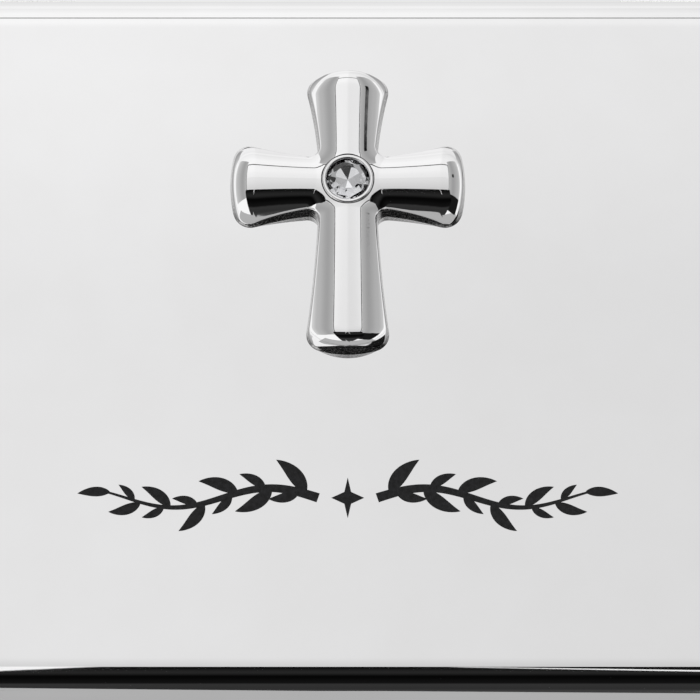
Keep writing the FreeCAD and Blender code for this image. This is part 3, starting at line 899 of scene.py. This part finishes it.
def pad_mesh(width, depth, corner, low, thickness, facing):
    """A slack pad: upright at its edge, then rolled over on to a grid. Also the number of held points."""
    columns = pad_lines(width)
    rows = pad_lines(depth)
    last_column = len(columns) - 1
    last_row = len(rows) - 1
    rim = [(column, 0) for column in range(last_column)]
    rim += [(last_column, row) for row in range(last_row)]
    rim += [(column, last_row) for column in range(last_column, 0, -1)]
    rim += [(0, row) for row in range(last_row, 0, -1)]
    loops = []
    for inset, height in PAD_SIDE:
        half_x = width / 2 - inset
        half_y = depth / 2 - inset
        loop = []
        for column, row in rim:
            x = columns[column] * half_x * 2 / width
            y = rows[row] * half_y * 2 / depth
            x, y = round_corner(x, y, half_x, half_y, corner - inset)
            loop.append((x, y, low + facing * thickness * height))
        loops.append(loop)
    points, faces = skin(loops, cap_last=False)
    grid = {}
    cells = [(column, row) for column in range(last_column + 1) for row in range(last_row + 1)]
    for column, row in rim + [cell for cell in cells if cell not in set(rim)]:
        inset = min(width / 2 - abs(columns[column]), depth / 2 - abs(rows[row]))
        turn = max(1 - inset / PAD_ROLL, 0)
        height = ROLL_FOOT + ROLL_RISE * math.sqrt(1 - turn * turn)
        inner_corner = max(corner - inset, 0.05)
        x, y = round_corner(columns[column], rows[row], width / 2 - inset, depth / 2 - inset, inner_corner)
        grid[column, row] = len(points)
        points.append((x, y, low + facing * thickness * height))
    held = (len(loops) + 1) * len(rim)
    side = (len(loops) - 1) * len(rim)
    for k, here in enumerate(rim):
        after = (k + 1) % len(rim)
        faces.append((side + k, side + after, grid[rim[after]], grid[here]))
    for column in range(last_column):
        for row in range(last_row):
            cell = ((column, row), (column + 1, row), (column + 1, row + 1), (column, row + 1))
            faces.append(tuple(grid[place] for place in cell))
    return points, faces, held


def swell(piece, held, cap):
    """Fill a slack pad by cloth simulation of an enlarged copy, with its held points fixed."""
    mesh = piece.data.copy()
    start = np.array([vertex.co for vertex in mesh.vertices])
    mesh.vertices.foreach_set("co", (start * SIMULATION_SCALE).ravel())
    double = bpy.data.objects.new("slack_pad", mesh)
    bpy.context.collection.objects.link(double)
    group = double.vertex_groups.new(name="held")
    group.add(range(held), 1.0, "REPLACE")
    cloth = double.modifiers.new("cloth", "CLOTH").settings
    cloth.vertex_group_mass = "held"
    cloth.use_pressure = True
    cloth.uniform_pressure_force = PRESSURE
    cloth.effector_weights.gravity = 0.0
    cloth.tension_stiffness = STIFFNESS
    cloth.compression_stiffness = STIFFNESS
    scene = bpy.context.scene
    for step in range(1, SIMULATION_FRAMES + 1):
        scene.frame_set(step)
    shaped = double.evaluated_get(bpy.context.evaluated_depsgraph_get()).to_mesh()
    shift = np.array([vertex.co for vertex in shaped.vertices]) / SIMULATION_SCALE - start
    shift *= min(1, cap * MM / np.linalg.norm(shift, axis=1).max())
    piece.data.vertices.foreach_set("co", (start + shift).ravel())
    piece.data.update()
    scene.frame_set(1)
    bpy.data.objects.remove(double)
    bpy.data.meshes.remove(mesh)


def padded_panel(name, node, body, corner, facing):
    low, high = node_box(node)
    size = high - low
    rest = low[2] if facing > 0 else high[2]
    points, faces, held = pad_mesh(size[0], size[1], corner, rest, size[2], facing)
    piece = new_object(name, points, faces, [VELVET])
    swell(piece, held, SWELL * size[2])
    smooth = piece.modifiers.new("smooth", "SUBSURF")
    smooth.levels = 1
    smooth.render_levels = 1
    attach(piece, body)
    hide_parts(node)


WALL_PAD = 0.8
WALL_PAD_CREST = 0.32
WALL_PAD_CORNER = 4.1
CREST_STEPS = 12


def wall_lining():
    low, high = node_box("wall_velvet")
    card_low, card_high = node_box("wall_card")
    width = high[0] - low[0]
    depth = high[1] - low[1]
    reach = (card_high[0] - card_low[0] - width) / 2
    foot = low[2]
    top = high[2]
    middle = (WALL_PAD - reach) / 2
    half = (WALL_PAD + reach) / 2
    profile = [(0.0, foot + 0.05), (0.0, top + 0.02), (0.02 - reach, top + 0.04), (0.06 - reach, top + 0.16)]
    for step in range(1, CREST_STEPS):
        angle = math.pi * (1 - step / CREST_STEPS)
        profile.append((middle + half * math.cos(angle), top + 0.05 + WALL_PAD_CREST * math.sin(angle)))
    profile += [(WALL_PAD, top - 0.3), (WALL_PAD, (top + foot) / 2)]
    profile += [(WALL_PAD, foot + 0.3), (WALL_PAD - 0.15, foot + 0.05)]
    points, faces = skin(box_loops(profile, width, depth, WALL_PAD_CORNER), joined=True)
    piece = new_object("wall_pad", points, faces, [VELVET])
    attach(piece, "body")
    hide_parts("wall_velvet")


# The felt's edge: inset and height of each loop, and the corner of its outline
FELT_EDGE = ((0.7, 0.0), (0.2, 0.02), (0.03, 0.15), (0.0, 0.4), (0.02, 0.7), (0.15, 0.79), (0.6, 0.8))
FELT_CORNER = 3.5


def felt_sheet():
    low, high = node_box("base_felt")
    size = high - low
    loops = [rounded_loop(size[0] - 2 * inset, size[1] - 2 * inset, FELT_CORNER - inset / 2, low[2] + z, 12)
             for inset, z in FELT_EDGE]
    points, faces = skin(loops)
    piece = new_object("felt_base", points, faces, [FELT])
    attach(piece, "body")
    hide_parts("base_felt")


padded_panel("floor_pad", "floor_velvet", "body", 3.0, 1)
padded_panel("lid_pad", "lid_velvet", "lid", 5.0, -1)
wall_lining()
felt_sheet()


def dress(material, *nodes):
    """Give CAD nodes that stay as they are a material."""
    for node in nodes:
        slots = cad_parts[node].data.materials
        slots.clear()
        slots.append(material)


dress(BOARD, "wall_card", "floor_card", "lid_card")
dress(WIRE, "hinge_pin", "stud_clips")
dress(SILVER, "body_hinge_bearer", "body_knuckle_left", "body_knuckle_middle", "body_knuckle_right",
      "lid_hinge_bearer", "lid_knuckle_left", "lid_knuckle_right")


# Studio

def level_ramp(tree, source, levels):
    ramp = tree.nodes.new("ShaderNodeValToRGB")
    ramp.color_ramp.interpolation = "EASE"
    while len(ramp.color_ramp.elements) < len(levels):
        ramp.color_ramp.elements.new(0.5)
    for element, (place, level) in zip(ramp.color_ramp.elements, levels):
        element.position = place
        element.color = (level, level, level, 1)
    tree.links.new(source, ramp.inputs["Fac"])
    return ramp


def emitter(name, levels, axis, across):
    """A card's glow: these levels along one axis of its box, times the levels across it along X."""
    material = bpy.data.materials.new(name)
    material.use_nodes = True
    tree = material.node_tree
    tree.nodes.clear()
    output = tree.nodes.new("ShaderNodeOutputMaterial")
    light = tree.nodes.new("ShaderNodeEmission")
    coordinates = tree.nodes.new("ShaderNodeTexCoord")
    split = tree.nodes.new("ShaderNodeSeparateXYZ")
    tree.links.new(coordinates.outputs["Generated"], split.inputs["Vector"])
    tree.links.new(level_ramp(tree, split.outputs[axis], levels).outputs["Color"], light.inputs["Color"])
    if across:
        share = level_ramp(tree, split.outputs["X"], across)
        tree.links.new(share.outputs["Color"], light.inputs["Strength"])
    tree.links.new(light.outputs["Emission"], output.inputs["Surface"])
    return material


# Places of the cards in metres: the room, the table up to the box, and the (y, z) of the front flag
ROOM_SIDE = 2.4
ROOM_BACK = 2.6
ROOM_FRONT = -1.9
TABLE_EDGE = 0.0345
TABLE_TOP = 0.0005
FLAG_TOP = (-0.16, 1.18)
FLAG_FOOT = (-1.7, 0.68)


def even(level):
    return ((0, level), (1, level))


def studio_card(name, corners, levels, axis="Y", across=()):
    mesh = bpy.data.meshes.new(name)
    mesh.from_pydata(corners, [], [tuple(range(len(corners)))])
    mesh.materials.append(emitter(name, levels, axis, across))
    card = bpy.data.objects.new(name, mesh)
    bpy.context.collection.objects.link(card)
    card.visible_camera = False
    card.visible_diffuse = False
    card.visible_shadow = False


def level_card(name, x_low, x_high, y_low, y_high, height, levels, across=()):
    studio_card(name, [(x_low, y_low, height), (x_high, y_low, height), (x_high, y_high, height),
                       (x_low, y_high, height)], levels, "Y", across)


def upright_card(name, y, height, levels, across=()):
    studio_card(name, [(-ROOM_SIDE, y, 0.0), (ROOM_SIDE, y, 0.0), (ROOM_SIDE, y, height),
                       (-ROOM_SIDE, y, height)], levels, "Z", across)


def slope_card(name, top, foot, y_low, y_high, levels):
    """A card that leans out from (x, z) at its top to (x, z) at its foot."""
    studio_card(name, [(top[0], y_low, top[1]), (top[0], y_high, top[1]), (foot[0], y_high, foot[1]),
                       (foot[0], y_low, foot[1])], levels, "Z")


def flag_patch(name, plan, level):
    """A patch pinned to the front flag, on the side of the box."""
    lean = (FLAG_TOP[1] - FLAG_FOOT[1]) / (FLAG_TOP[0] - FLAG_FOOT[0])
    corners = [(x, y, FLAG_TOP[1] + lean * (y - FLAG_TOP[0]) - 0.01) for x, y in plan]
    studio_card(name, corners, even(level))


def floor():
    mesh = bpy.data.meshes.new("floor")
    half = 4.0
    corners = [(-half, -half, 0), (half, -half, 0), (half, half, 0), (-half, half, 0)]
    mesh.from_pydata(corners, [], [(0, 1, 2, 3)])
    material, _, shader = new_material("floor_paint")
    shader.inputs["Base Color"].default_value = (0.8, 0.8, 0.8, 1)
    shader.inputs["Roughness"].default_value = 0.7
    mesh.materials.append(material)
    surface = bpy.data.objects.new("floor", mesh)
    bpy.context.collection.objects.link(surface)


def studio_world():
    """White where it is seen, also in metal and glass, and a plain light elsewhere."""
    world = bpy.data.worlds.new("studio")
    bpy.context.scene.world = world
    world.use_nodes = True
    tree = world.node_tree
    nodes = tree.nodes
    nodes.clear()
    output = nodes.new("ShaderNodeOutputWorld")
    mix = nodes.new("ShaderNodeMixShader")
    for socket, strength in ((1, 0.55), (2, 1.0)):
        light = nodes.new("ShaderNodeBackground")
        light.inputs["Color"].default_value = (1, 1, 1, 1)
        light.inputs["Strength"].default_value = strength
        tree.links.new(light.outputs["Background"], mix.inputs[socket])
    path = nodes.new("ShaderNodeLightPath")
    either = nodes.new("ShaderNodeMath")
    either.operation = "MAXIMUM"
    any_of = nodes.new("ShaderNodeMath")
    any_of.operation = "MAXIMUM"
    tree.links.new(path.outputs["Is Camera Ray"], either.inputs[0])
    tree.links.new(path.outputs["Is Glossy Ray"], either.inputs[1])
    tree.links.new(either.outputs["Value"], any_of.inputs[0])
    tree.links.new(path.outputs["Is Transmission Ray"], any_of.inputs[1])
    tree.links.new(any_of.outputs["Value"], mix.inputs["Fac"])
    tree.links.new(mix.outputs["Shader"], output.inputs["Surface"])


def soft_lamp(name, place, size, power):
    data = bpy.data.lights.new(name, "AREA")
    data.shape = "SQUARE"
    data.size = size
    data.energy = power
    lamp = bpy.data.objects.new(name, data)
    lamp.location = place
    lamp.rotation_euler = (Vector((0, 0, 0.02)) - Vector(place)).to_track_quat("-Z", "Y").to_euler()
    lamp.visible_glossy = False
    lamp.visible_transmission = False
    lamp.visible_camera = False
    bpy.context.collection.objects.link(lamp)


LENS = 348
CAMERA_DISTANCE = 0.6
CAMERA_ELEVATION = math.radians(70)
AIM = Vector((0.0002, -0.00116, PANEL * MM))


def camera():
    data = bpy.data.cameras.new("camera")
    data.sensor_width = 36
    data.lens = LENS
    data.clip_start = 0.01
    view = bpy.data.objects.new("camera", data)
    bpy.context.collection.objects.link(view)
    back = Vector((0, -math.cos(CAMERA_ELEVATION), math.sin(CAMERA_ELEVATION)))
    view.location = AIM + back * CAMERA_DISTANCE
    view.rotation_euler = (-back).to_track_quat("-Z", "Y").to_euler()
    bpy.context.scene.camera = view


floor()
studio_world()
soft_lamp("key_lamp", (-0.5, 0.35, 1.1), 0.9, 9)
soft_lamp("fill_lamp", (0.6, -0.7, 0.8), 0.8, 4)
level_card("softbox", -0.64, 0.64, -0.20, 1.60, 1.2, ((0, 0.70), (0.345, 0.84), (0.395, 0.93), (0.7, 1.0)),
           ((0.43, 1.0), (0.57, 0.92)))
level_card("softbox_frame", -0.69, 0.69, -0.25, 1.76, 1.21, even(0.03))
slope_card("left_wall", (-0.70, 1.2), (-1.7, 0.30), -0.6, 2.4,
           ((0, 0.68), (0.35, 0.50), (0.75, 0.38), (1, 0.46)))
slope_card("right_wall", (0.70, 1.2), (1.7, 0.30), -0.36, 2.4,
           ((0, 0.60), (0.35, 0.46), (0.75, 0.36), (1, 0.46)))
slope_card("right_stand", (0.89, 1.01), (1.03, 0.88), 0.5297, 0.72, even(0.01))
slope_card("right_flag", (0.72, 1.2), (1.7, 0.30), -1.7, -0.36, even(0.01))
upright_card("back_wall", ROOM_BACK, 1.8, ((0, 0.90), (0.28, 0.95), (0.55, 1.0), (1, 1.0)),
             ((0.497, 1.0), (0.54, 0.92)))
level_card("back_table", -ROOM_SIDE, ROOM_SIDE, TABLE_EDGE, ROOM_BACK, TABLE_TOP,
           ((0, 0.76), (0.03, 0.86), (0.08, 0.96), (1, 0.96)), ((0.497, 1.0), (0.54, 0.78)))
upright_card("front_wall", ROOM_FRONT, 0.8, even(0.46))
level_card("front_table", -ROOM_SIDE, ROOM_SIDE, ROOM_FRONT, -TABLE_EDGE, TABLE_TOP,
           ((0, 0.46), (0.94, 0.46), (1, 0.60)))
studio_card("front_flag", [(-0.35, *FLAG_FOOT), (0.35, *FLAG_FOOT), (1.3, *FLAG_TOP), (-0.8, *FLAG_TOP)],
            ((0, 0.05), (0.18, 0.03), (0.40, 0.034), (0.48, 0.006), (0.70, 0.002), (0.83, 0.02), (1, 0.002)))
studio_card("flag_tail", [(0.0, -1.7, 0.70), (0.125, -1.7, 0.46), (0.125, -1.7, 0.70)], even(0.05), "Z")
flag_patch("flag_cut", [(0.0, -1.72), (-0.125, -1.72), (-0.125, -1.30)], 0.46)
flag_patch("left_gleam", [(-0.064, -0.15), (-0.094, -0.15), (-0.094, -0.406)], 0.98)
flag_patch("right_gleam", [(0.028, -0.165), (0.028, -0.1845), (0.094, -0.402), (0.094, -0.332)], 0.98)
camera()

bpy.context.scene.view_settings.view_transform = "Standard"
